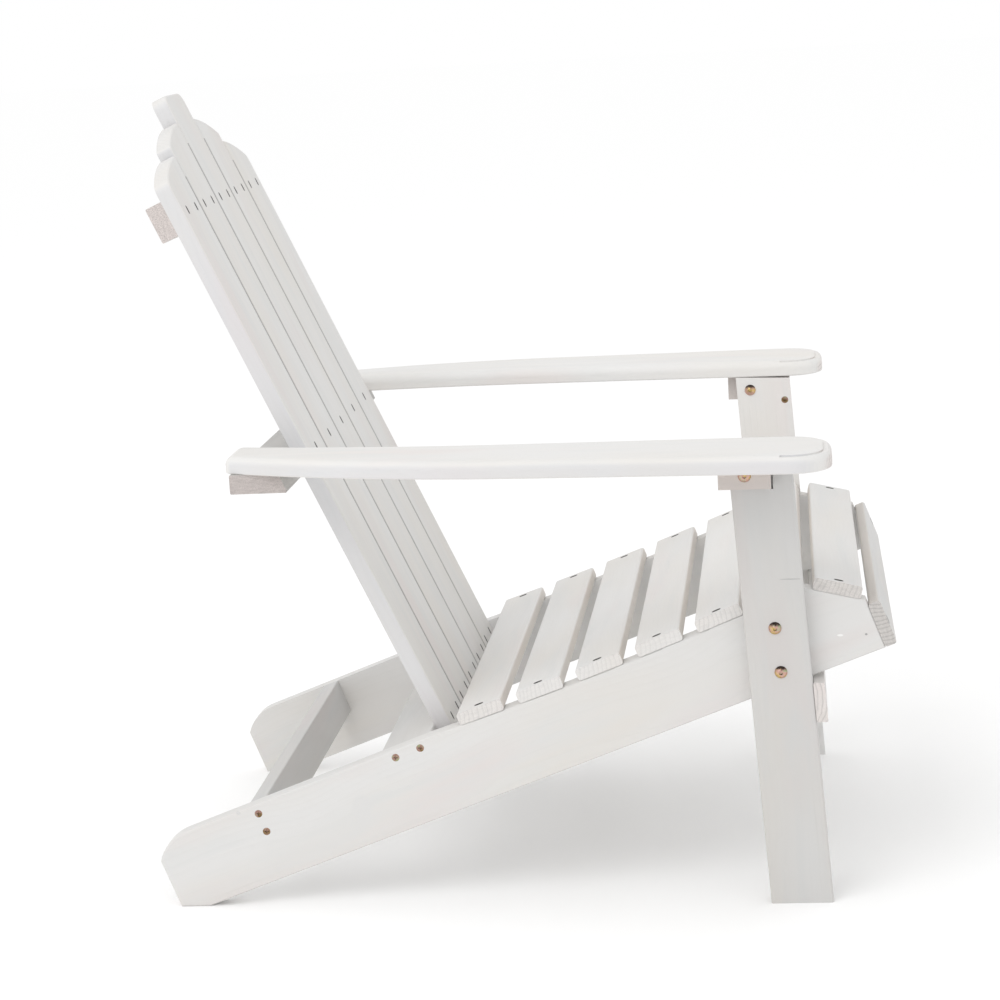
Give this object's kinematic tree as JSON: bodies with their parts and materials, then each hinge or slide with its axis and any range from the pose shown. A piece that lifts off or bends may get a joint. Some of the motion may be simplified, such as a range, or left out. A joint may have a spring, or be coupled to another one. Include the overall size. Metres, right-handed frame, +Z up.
{
  "type": "adirondack chair",
  "caption": "Low wooden adirondack garden chair with a slatted fan back, a sloping slatted seat, wide flat arms and bolted front legs, in white wash paint.",
  "frame": {"origin": "centre of the bounding box at ground level", "axes": "+Z up, the chair faces -Y, +X to the sitter's left; symmetric about the YZ plane"},
  "size_m": [0.7532, 0.8, 0.8674],
  "materials": {
    "frame_paint": "satin",
    "slat_paint": "satin",
    "arm_paint": "satin",
    "bare_end_board": "satin",
    "zinc_hardware": "yellow zinc",
    "staple_steel": "dull"
  },
  "bodies": {
    "root": {"arm_bracket_left": "frame_paint", "arm_bracket_right": "frame_paint", "arm_left": "arm_paint", "arm_rail_screws": "zinc_hardware", "arm_right": "arm_paint", "arm_support_rail": "bare_end_board", "back_slat_1": "slat_paint", "back_slat_2": "slat_paint", "back_slat_3": "slat_paint", "back_slat_4": "slat_paint", "back_slat_5": "slat_paint", "back_staples": "staple_steel", "bracket_bolts": "zinc_hardware", "bracket_nuts": "zinc_hardware", "bracket_screws": "zinc_hardware", "front_leg_left": "frame_paint", "front_leg_right": "frame_paint", "front_stretcher": "frame_paint", "front_stretcher_screws": "zinc_hardware", "leg_bolts": "zinc_hardware", "leg_nuts": "zinc_hardware", "leg_top_screws": "zinc_hardware", "leg_washers": "zinc_hardware", "lower_back_rail": "frame_paint", "rear_stretcher": "frame_paint", "seat_slat_1": "slat_paint", "seat_slat_2": "slat_paint", "seat_slat_3": "slat_paint", "seat_slat_4": "slat_paint", "seat_slat_5": "slat_paint", "seat_slat_6": "slat_paint", "seat_slat_7": "slat_paint", "seat_slat_8": "slat_paint", "seat_staples": "staple_steel", "side_rail_left": "frame_paint", "side_rail_right": "frame_paint", "side_rail_screws": "zinc_hardware", "upper_back_rail": "bare_end_board"}
  },
  "joints": []
}
